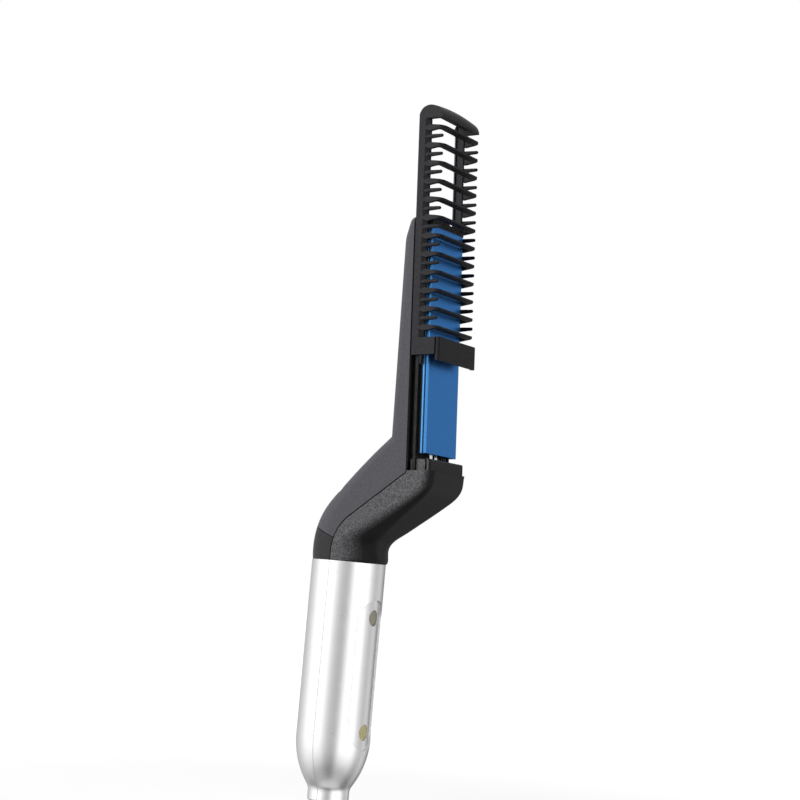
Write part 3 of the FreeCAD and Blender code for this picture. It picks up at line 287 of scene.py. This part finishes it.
# Buttons. Two round olive buttons in translucent plastic, the upper one greyer. Each stands in
# a hole of the grip recess, held by the flange behind the wall.
# Each button is also given a faint glow in its own colour, a painted light, though no lamp stands behind
# it.
for button, dark, light, painted_glow_colour, glow in (
    ("power_button", (0.25, 0.24, 0.175), (0.33, 0.315, 0.235), (0.24, 0.23, 0.17, 1), 0.5),
    ("heat_button", (0.55, 0.5, 0.23), (0.68, 0.62, 0.31), (0.4, 0.36, 0.17, 1), 0.55),
):
    button_plastic, shader = new_finish(
        button + "_plastic",
        {"Subsurface Weight": 0.25, "Subsurface Scale": 0.0015, "Coat Weight": 0.15,
         "Emission Color": painted_glow_colour, "Emission Strength": glow},
    )
    tint(button_plastic, shader, grain(button_plastic, 0.0016, 4), dark, light)
    vary(button_plastic, shader, grain(button_plastic, 0.0005), 0.3, 0.42)
    relief(button_plastic, shader, grain(button_plastic, 0.0004), 0.000012)
    dress(button_plastic, button)


# Leads. Silicone-sleeved wires run from the board up through the neck: two black ones to the
# heater's electrode tabs and two thin grey ones to the sensors.
lead_black, shader = new_finish("lead_black", {"Specular IOR Level": 0.3})
tint(lead_black, shader, grain(lead_black, 0.002, 4), (0.014, 0.014, 0.015), (0.028, 0.028, 0.028))
vary(lead_black, shader, grain(lead_black, 0.0006), 0.55, 0.72)
relief(lead_black, shader, grain(lead_black, 0.0004), 0.00002)
dress(lead_black, "heater_leads")

lead_grey, shader = new_finish("lead_grey", {"Specular IOR Level": 0.2})
tint(lead_grey, shader, grain(lead_grey, 0.003, 4), (0.05, 0.05, 0.052), (0.075, 0.075, 0.078))
vary(lead_grey, shader, grain(lead_grey, 0.0006), 0.5, 0.66)
relief(lead_grey, shader, grain(lead_grey, 0.0004), 0.00002)
dress(lead_grey, "sensor_leads")


# Neck and rear cover. Black mouldings with a fine spark-eroded texture: the front shell carries
# the step for the comb, the small collar and the long cover close it from behind. A tongue on
# the front shell's edge laps the seam from inside.
cover_plastic, shader = new_finish("cover_plastic", {"IOR": 1.2})
tint(cover_plastic, shader, grain(cover_plastic, 0.0006, 3), (0.1, 0.099, 0.111), (0.135, 0.133, 0.148))
vary(cover_plastic, shader, grain(cover_plastic, 0.0006, 3), 0.42, 0.58)
cover_edge = edge_round(cover_plastic, 0.0004)
relief(cover_plastic, shader, grain(cover_plastic, 0.0004, 3), 0.00003, under=cover_edge)
dress(cover_plastic, "head_rear_cover")

collar_plastic, shader = new_finish("collar_plastic", {"IOR": 1.25})
tint(collar_plastic, shader, grain(collar_plastic, 0.0006, 3), (0.024, 0.024, 0.026), (0.033, 0.033, 0.035))
vary(collar_plastic, shader, grain(collar_plastic, 0.0006, 3), 0.34, 0.46)
collar_edge = edge_round(collar_plastic, 0.0003)
relief(collar_plastic, shader, grain(collar_plastic, 0.0004, 3), 0.00002, under=collar_edge)
dress(collar_plastic, "neck_rear_collar")


def painted_side_light_mask(made, pattern=None, least=0.0):
    """1 on the faces that look sideways and 0 elsewhere, weighted by a pattern if one is given: a mask for
    painting those sides lighter, as the side light falls on them.
    """
    nodes, links = made.node_tree.nodes, made.node_tree.links
    facing = nodes.new("ShaderNodeSeparateXYZ")
    sideways = nodes.new("ShaderNodeMath")
    sideways.operation = "ABSOLUTE"
    zone = nodes.new("ShaderNodeMapRange")
    zone.inputs["From Min"].default_value = 0.6
    zone.inputs["From Max"].default_value = 0.9
    links.new(nodes.new("ShaderNodeTexCoord").outputs["Normal"], facing.inputs["Vector"])
    links.new(facing.outputs["Y"], sideways.inputs[0])
    links.new(sideways.outputs["Value"], zone.inputs["Value"])
    if pattern is None:
        return zone.outputs["Result"]
    spread = nodes.new("ShaderNodeMapRange")
    spread.inputs["From Min"].default_value = 0.36
    spread.inputs["From Max"].default_value = 0.68
    spread.inputs["To Min"].default_value = least
    weighted = nodes.new("ShaderNodeMath")
    weighted.operation = "MULTIPLY"
    links.new(pattern, spread.inputs["Value"])
    links.new(zone.outputs["Result"], weighted.inputs[0])
    links.new(spread.outputs["Result"], weighted.inputs[1])
    return weighted.outputs["Value"]


neck_plastic, shader = new_finish("neck_plastic", {"IOR": 1.2})
# The front shell's sideways faces are painted far lighter than its front and underside. This painted side
# light stands in for the lamp that falls on them, and the grain over them is the spark-eroded texture.
spark_grain_and_painted_side_light = painted_side_light_mask(neck_plastic, grain(neck_plastic, 0.0007, 2), 0.35)
tint(neck_plastic, shader, spark_grain_and_painted_side_light, (0.014, 0.014, 0.016), (0.2, 0.198, 0.206), 0.0, 1.0)
vary(neck_plastic, shader, grain(neck_plastic, 0.0006, 3), 0.4, 0.55)
neck_edge = edge_round(neck_plastic, 0.0005)
relief(neck_plastic, shader, grain(neck_plastic, 0.0007, 2), 0.00004, under=neck_edge)
dress(neck_plastic, "neck_front_shell")

shell_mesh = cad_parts["neck_front_shell"].data
shell_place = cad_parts["neck_front_shell"].matrix_world
shell_skin = BVHTree.FromPolygons(
    [shell_place @ vert.co for vert in shell_mesh.vertices],
    [face.vertices for face in shell_mesh.polygons],
)
seam_bend = math.radians(52.9)
seam_radius = 0.02
seam_foot = Vector((0, 0, 0.1085))
bend_start = Vector((0, 0, 0.10944))
bend_steps = 12
slope_steps = 8
slope_stride = 0.0036
seam = [(seam_foot, 0.0)]
for step in range(bend_steps + 1):
    turn = seam_bend * step / bend_steps
    way = Vector((1 - math.cos(turn), 0, math.sin(turn)))
    seam.append((bend_start + seam_radius * way, turn))
bend_end = seam[-1][0]
slope = Vector((math.sin(seam_bend), 0, math.cos(seam_bend)))
for step in range(1, slope_steps + 1):
    seam.append((bend_end + slope * slope_stride * step, seam_bend))
shell_wall = 0.0022
wall_gap = 0.00002
tongue_depth = 0.0007
tongue_root = 0.0008
tongue_lap = 0.0012
well_outside = 0.05
tongue = bmesh.new()
for side in (-1, 1):
    inward = Vector((0, -side, 0))
    rings = []
    for point, turn in seam:
        across = Vector((-math.cos(turn), 0, math.sin(turn)))
        outside = point - across * tongue_root / 2 - inward * well_outside
        skin_y = shell_skin.ray_cast(outside, inward)[0].y
        wall_y = skin_y - side * (shell_wall + wall_gap)
        inner_y = wall_y - side * tongue_depth
        ring = []
        for reach, y in (
            (-tongue_root, wall_y), (tongue_lap, wall_y), (tongue_lap, inner_y), (-tongue_root, inner_y),
        ):
            corner = point + across * reach
            ring.append(tongue.verts.new((corner.x, y, corner.z)))
        rings.append(ring)
    for low, high in zip(rings, rings[1:]):
        for k in range(4):
            tongue.faces.new((low[k], low[(k + 1) % 4], high[(k + 1) % 4], high[k]))
    tongue.faces.new(rings[0])
    tongue.faces.new(rings[-1])
mesh_piece("neck_seam_tongue", tongue, collar_plastic, "body")


# Heater carrier with its foot holder and end cap. Glass-filled heat-proof mouldings, slightly
# mottled by the fibres, screwed to the rear cover from behind. A thin rim with a notch stands
# along the front of the cap.
heat_plastic, shader = new_finish("heat_plastic", {"IOR": 1.2})
fibres = grain(heat_plastic, 0.0008, 5, (1, 1, 0.2))
tint(heat_plastic, shader, fibres, (0.016, 0.016, 0.017), (0.034, 0.034, 0.035))
vary(heat_plastic, shader, grain(heat_plastic, 0.0004), 0.45, 0.6)
relief(heat_plastic, shader, grain(heat_plastic, 0.0003, 3, (1, 1, 0.3)), 0.00002)
dress(heat_plastic, "heater_carrier", "heater_foot_holder", "heater_end_cap")

head_foot = (0, 0, 0.1058)
head_angle = math.radians(-3.4)
head_lean = Matrix.Translation(head_foot) @ Matrix.Rotation(head_angle, 4, "Y")
cap_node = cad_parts["heater_end_cap"]
to_head = head_lean.inverted() @ cap_node.matrix_world
cap_points = [to_head @ vert.co for vert in cap_node.data.vertices]
cap_front = max(point.x for point in cap_points)
cap_half = max(point.y for point in cap_points)
cap_top = max(point.z for point in cap_points)
rim_top = cap_top + 0.0015
rim_foot = cap_top - 0.0012
rim_front = cap_front + 0.00002
rim_back = cap_front - 0.0009
rim_bevel = 0.0003
rim_corner = 0.0012
corner_steps = 6
# The notch, as places along the width and depths below the rim's upper edge.
notch_line = (
    (0.0054, 0.0), (0.0052, 0.0009), (0.0045, 0.0014),
    (0.0013, 0.0014), (0.0006, 0.0009), (0.0004, 0.0),
)


def rim_round(centre_y, start):
    """Points of a quarter round at one end of the rim's upper edge."""
    centre_z = rim_top - rim_corner
    points = []
    for step in range(corner_steps + 1):
        turn = start + math.pi / 2 * step / corner_steps
        points.append((centre_y + rim_corner * math.cos(turn), centre_z + rim_corner * math.sin(turn)))
    return points


rim_line = [(-cap_half, rim_foot), (cap_half, rim_foot)]
rim_line += rim_round(cap_half - rim_corner, 0)
rim_line += [(y, rim_top - depth) for y, depth in notch_line]
rim_line += rim_round(rim_corner - cap_half, math.pi / 2)
rim = bmesh.new()
back_end = [rim.verts.new(head_lean @ Vector((rim_back, y, z))) for y, z in rim_line]
front_end = [rim.verts.new(head_lean @ Vector((rim_front, y, z))) for y, z in rim_line]
for k in range(len(rim_line)):
    after = (k + 1) % len(rim_line)
    rim.faces.new((back_end[k], back_end[after], front_end[after], front_end[k]))
rim.faces.new(back_end)
rim.faces.new(front_end)
rim_edges = [edge for edge in rim.edges if all(vert in front_end for vert in edge.verts)]
bmesh.ops.bevel(rim, geom=rim_edges, offset=rim_bevel, segments=2, profile=0.5, affect="EDGES")
mesh_piece("heater_end_cap_rim", rim, heat_plastic, "body")


# Heating plate. An extruded aluminium section, brushed along its length and anodised blue, with
# a groove along each flank. It holds the ceramic stones pressed to its back.
blue_anodised, shader = new_finish(
    "blue_anodised", {"Metallic": 1.0, "Specular Tint": (0.6, 0.75, 0.95, 1)}
)
drawn = grain(blue_anodised, 0.0002, 4, (1, 1, 0.02))
# The flanks are painted a lighter blue than the front: a painted highlight of the light that catches them.
tint(blue_anodised, shader, painted_side_light_mask(blue_anodised), (0.035, 0.142, 0.37), (0.07, 0.23, 0.47), 0.0, 1.0)
vary(blue_anodised, shader, drawn, 0.3, 0.4)
relief(blue_anodised, shader, drawn, 0.000008, under=edge_round(blue_anodised, 0.0006))
dress(blue_anodised, "heater_plate")


# Heater stack. Grey ceramic stones between two rolled electrodes whose bright tabs reach down
# to the leads, wrapped front and back in amber insulating film.
ceramic, shader = new_finish("ceramic", {"Specular IOR Level": 0.3})
tint(ceramic, shader, grain(ceramic, 0.0006, 6), (0.14, 0.13, 0.125), (0.24, 0.23, 0.22))
vary(ceramic, shader, grain(ceramic, 0.0005), 0.66, 0.82)
relief(ceramic, shader, grain(ceramic, 0.0002, 4), 0.00003)
dress(ceramic, "ptc_stones")

electrode_metal, shader = new_finish("electrode_metal", {"Metallic": 1.0})
rolled = grain(electrode_metal, 0.0002, 4, (1, 1, 0.04))
tint(electrode_metal, shader, rolled, (0.66, 0.66, 0.65), (0.82, 0.82, 0.81))
vary(electrode_metal, shader, rolled, 0.2, 0.32)
relief(electrode_metal, shader, rolled, 0.000006)
dress(electrode_metal, "rear_electrode", "front_electrode")

insulating_film, shader = new_finish("insulating_film", {"Transmission Weight": 0.2, "IOR": 1.6})
tint(insulating_film, shader, grain(insulating_film, 0.004, 3), (0.42, 0.19, 0.025), (0.56, 0.28, 0.05))
vary(insulating_film, shader, grain(insulating_film, 0.001), 0.14, 0.24)
relief(insulating_film, shader, grain(insulating_film, 0.003), 0.00003)
dress(insulating_film, "insulating_films")


# Sensors behind the heater. A thermal fuse in a drawn metal case and a thermistor in a dipped
# epoxy bead lie on the floor of the carrier's pocket.
fuse_metal, shader = new_finish("fuse_metal", {"Metallic": 1.0})
tint(fuse_metal, shader, grain(fuse_metal, 0.0015, 4), (0.55, 0.54, 0.5), (0.7, 0.69, 0.65))
vary(fuse_metal, shader, grain(fuse_metal, 0.0004, 3, (1, 1, 0.1)), 0.24, 0.38)
relief(fuse_metal, shader, grain(fuse_metal, 0.0004, 3, (1, 1, 0.1)), 0.000008)
dress(fuse_metal, "thermal_fuse")

sensor_epoxy, shader = new_finish("sensor_epoxy", {"Coat Weight": 0.3})
tint(sensor_epoxy, shader, grain(sensor_epoxy, 0.001, 4), (0.02, 0.05, 0.03), (0.035, 0.085, 0.05))
vary(sensor_epoxy, shader, grain(sensor_epoxy, 0.0005), 0.24, 0.36)
relief(sensor_epoxy, shader, grain(sensor_epoxy, 0.0008), 0.00002)
dress(sensor_epoxy, "thermistor")


# Comb attachment. One satin black moulding of heat-resistant nylon: bracket, two grooved rails,
# teeth, bridge bars and a domed cap. It slides on the carrier's tongues and pulls off upward.
comb_plastic, shader = new_finish("comb_plastic", {"IOR": 1.14})
tint(comb_plastic, shader, grain(comb_plastic, 0.0012, 4), (0.038, 0.038, 0.042), (0.05, 0.05, 0.055))
vary(comb_plastic, shader, grain(comb_plastic, 0.0008, 3), 0.36, 0.5)
comb_edge = edge_round(comb_plastic, 0.0003)
relief(comb_plastic, shader, grain(comb_plastic, 0.0005, 2), 0.00002, under=comb_edge)
dress(comb_plastic, "comb_attachment")


# Screws. Zinc-plated pan-head screws with a cross recess, turned and rolled from steel wire.
# They close the handle and the neck, hold the carrier to its cover and the board to its posts.
screw_steel, shader = new_finish("screw_steel", {"Metallic": 1.0})
tint(screw_steel, shader, grain(screw_steel, 0.0006, 4), (0.44, 0.44, 0.44), (0.62, 0.62, 0.61))
vary(screw_steel, shader, grain(screw_steel, 0.0003), 0.24, 0.4)
relief(screw_steel, shader, grain(screw_steel, 0.0003), 0.00001)
dress(screw_steel, "board_screws", "handle_screws", "neck_screws", "head_screws")


# Floor and backdrop. A pale studio floor that runs into a white background and keeps a soft
# shadow of the object. Metal mirrors the white round the floor and not the floor itself.
def seen_directly(tree):
    """1 for what the camera sees, directly or in metal and glass, and 0 for scattered light."""
    path = tree.nodes.new("ShaderNodeLightPath")
    or_mirrored = tree.nodes.new("ShaderNodeMath")
    or_mirrored.operation = "ADD"
    or_through = tree.nodes.new("ShaderNodeMath")
    or_through.operation = "ADD"
    or_through.use_clamp = True
    tree.links.new(path.outputs["Is Camera Ray"], or_mirrored.inputs[0])
    tree.links.new(path.outputs["Is Glossy Ray"], or_mirrored.inputs[1])
    tree.links.new(or_mirrored.outputs["Value"], or_through.inputs[0])
    tree.links.new(path.outputs["Is Transmission Ray"], or_through.inputs[1])
    return or_through.outputs["Value"]


floor_half = 4.0
floor_z = cad_low.z - 0.0005
floor_mesh = bpy.data.meshes.new("studio_floor")
floor_mesh.from_pydata(
    [(-floor_half, -floor_half, floor_z), (floor_half, -floor_half, floor_z),
     (floor_half, floor_half, floor_z), (-floor_half, floor_half, floor_z)],
    [],
    [(0, 1, 2, 3)],
)
floor = bpy.data.objects.new("studio_floor", floor_mesh)
bpy.context.scene.collection.objects.link(floor)
floor_paint, shader = new_finish("studio_floor", {"Roughness": 0.9, "Specular IOR Level": 0.1})
tint(floor_paint, shader, grain(floor_paint, 0.02, 3), (0.26, 0.26, 0.26), (0.28, 0.28, 0.28))
tree = floor_paint.node_tree
glow = tree.nodes.new("ShaderNodeEmission")
place = tree.nodes.new("ShaderNodeTexCoord")
reach = tree.nodes.new("ShaderNodeVectorMath")
reach.operation = "LENGTH"
fade = tree.nodes.new("ShaderNodeMapRange")
fade.inputs["From Min"].default_value = 0.15
fade.inputs["From Max"].default_value = 0.5
fade.inputs["To Min"].default_value = 0.82
fade.inputs["To Max"].default_value = 1.0
weigh = tree.nodes.new("ShaderNodeMath")
weigh.operation = "MULTIPLY"
both = tree.nodes.new("ShaderNodeAddShader")
tree.links.new(place.outputs["Object"], reach.inputs[0])
tree.links.new(reach.outputs["Value"], fade.inputs["Value"])
tree.links.new(fade.outputs["Result"], weigh.inputs[0])
tree.links.new(seen_directly(tree), weigh.inputs[1])
tree.links.new(weigh.outputs["Value"], glow.inputs["Strength"])
tree.links.new(shader.outputs["BSDF"], both.inputs[0])
tree.links.new(glow.outputs["Emission"], both.inputs[1])
tree.links.new(both.outputs["Shader"], tree.nodes["Material Output"].inputs["Surface"])
floor_mesh.materials.append(floor_paint)
floor_paint.cycles.emission_sampling = "NONE"
floor.visible_glossy = False

world = bpy.data.worlds.new("studio")
bpy.context.scene.world = world
world.use_nodes = True
tree = world.node_tree
soft_light = tree.nodes["Background"]
soft_light.inputs["Color"].default_value = (1, 1, 1, 1)
soft_light.inputs["Strength"].default_value = 0.06
white = tree.nodes.new("ShaderNodeBackground")
white.inputs["Color"].default_value = (1, 1, 1, 1)
white.inputs["Strength"].default_value = 1.0
choose = tree.nodes.new("ShaderNodeMixShader")
tree.links.new(seen_directly(tree), choose.inputs["Fac"])
tree.links.new(soft_light.outputs["Background"], choose.inputs[1])
tree.links.new(white.outputs["Background"], choose.inputs[2])
tree.links.new(choose.outputs["Shader"], tree.nodes["World Output"].inputs["Surface"])


# Camera. It stands where the photo was taken: level with the handle, looking slightly up, from
# the front and to one side, turned a little about its own line of sight.
eye = Vector((0.4586, -0.75384, 0.09931))
eye_azimuth = math.radians(30.257)
eye_elevation = math.radians(-5.232)
eye_roll = math.radians(5.047)
upright = Matrix.Rotation(eye_azimuth, 4, "Z") @ Matrix.Rotation(math.pi / 2 - eye_elevation, 4, "X")
lens_data = bpy.data.cameras.new("studio_camera")
lens_data.sensor_width = 36.0
lens_data.lens = 88.58
lens_data.clip_start = 0.01
lens_data.clip_end = 50.0
camera = bpy.data.objects.new("studio_camera", lens_data)
bpy.context.scene.collection.objects.link(camera)
camera.matrix_world = Matrix.Translation(eye) @ upright @ Matrix.Rotation(eye_roll, 4, "Z")
bpy.context.scene.camera = camera


# Studio lights. A large soft box on the left gives the main light, with weak ones on the right,
# overhead and behind. A ring of white and grey panels is what the silver handle mirrors.
middle = (cad_low + cad_high) / 2
to_camera = eye_azimuth - math.pi / 2


def soft_box(name, azimuth, elevation, distance, width, height, power):
    """An area lamp that faces the object's middle from a direction round the camera's line."""
    turn = to_camera + math.radians(azimuth)
    lift = math.radians(elevation)
    way = Vector((math.cos(turn) * math.cos(lift), math.sin(turn) * math.cos(lift), math.sin(lift)))
    data = bpy.data.lights.new(name, "AREA")
    data.shape = "RECTANGLE"
    data.size = width
    data.size_y = height
    data.energy = power
    lamp = bpy.data.objects.new(name, data)
    bpy.context.scene.collection.objects.link(lamp)
    lamp.location = middle + way * distance
    lamp.rotation_mode = "QUATERNION"
    lamp.rotation_quaternion = way.to_track_quat("Z", "Y")


soft_box("left_box", -66, 12, 1.3, 1.4, 1.5, 21.0)
soft_box("right_box", 46, 6, 1.3, 1.1, 1.3, 0.8)
soft_box("top_box", -40, 70, 1.2, 0.9, 0.9, 0.8)
soft_box("back_box", -160, 20, 1.3, 0.8, 1.3, 3.0)

ring_radius = 0.5
ring_top = 0.36
ring_bottom = -0.9
ring_steps = 96
ring_mesh = bpy.data.meshes.new("reflector_ring")
ring_points = []
ring_faces = []
for step in range(ring_steps):
    turn = 2 * math.pi * step / ring_steps
    for z in (ring_bottom, ring_top):
        ring_points.append((ring_radius * math.cos(turn), ring_radius * math.sin(turn), z))
    here = 2 * step
    after = 2 * ((step + 1) % ring_steps)
    ring_faces.append((here, after, after + 1, here + 1))
ring_mesh.from_pydata(ring_points, [], ring_faces)
ring = bpy.data.objects.new("reflector_ring", ring_mesh)
bpy.context.scene.collection.objects.link(ring)
ring_cloth, shader = new_finish(
    "reflector_ring",
    {"Base Color": (0, 0, 0, 1), "Roughness": 1.0, "Specular IOR Level": 0.0,
     "Emission Color": (1, 1, 1, 1)},
)
tree = ring_cloth.node_tree
place = tree.nodes.new("ShaderNodeTexCoord")
turned = tree.nodes.new("ShaderNodeMapping")
turned.inputs["Rotation"].default_value = (0, 0, -to_camera)
round_it = tree.nodes.new("ShaderNodeTexGradient")
round_it.gradient_type = "RADIAL"
panels = tree.nodes.new("ShaderNodeValToRGB")
panel_levels = (
    (-180, 0.15), (-130, 0.35), (-110, 0.5), (-92, 0.72), (-40, 0.75), (-24, 0.4), (-4, 0.27), (8, 0.3),
    (22, 0.95), (68, 1.0), (84, 0.5), (104, 0.34), (118, 0.52), (130, 0.45), (148, 0.15), (180, 0.15),
)
stops = panels.color_ramp.elements
while len(stops) < len(panel_levels):
    stops.new(0.5)
for stop, (azimuth, level) in zip(stops, panel_levels):
    stop.position = 0.5 + azimuth / 360
    stop.color = (level, level, level, 1)
height = tree.nodes.new("ShaderNodeSeparateXYZ")
fall = tree.nodes.new("ShaderNodeMapRange")
fall.inputs["From Min"].default_value = -0.47
fall.inputs["From Max"].default_value = -0.16
fall.inputs["To Min"].default_value = 0.6
fall.inputs["To Max"].default_value = 1.95
bright = tree.nodes.new("ShaderNodeMath")
bright.operation = "MULTIPLY"
tree.links.new(place.outputs["Object"], height.inputs["Vector"])
tree.links.new(height.outputs["Z"], fall.inputs["Value"])
tree.links.new(fall.outputs["Result"], bright.inputs[1])
tree.links.new(place.outputs["Object"], turned.inputs["Vector"])
tree.links.new(turned.outputs["Vector"], round_it.inputs["Vector"])
tree.links.new(round_it.outputs["Fac"], panels.inputs["Fac"])
tree.links.new(panels.outputs["Color"], bright.inputs[0])
tree.links.new(bright.outputs["Value"], shader.inputs["Emission Strength"])
ring_mesh.materials.append(ring_cloth)
ring_cloth.cycles.emission_sampling = "NONE"
ring.visible_camera = False
ring.visible_diffuse = False
ring.visible_shadow = False


bpy.context.scene.view_settings.view_transform = "Standard"
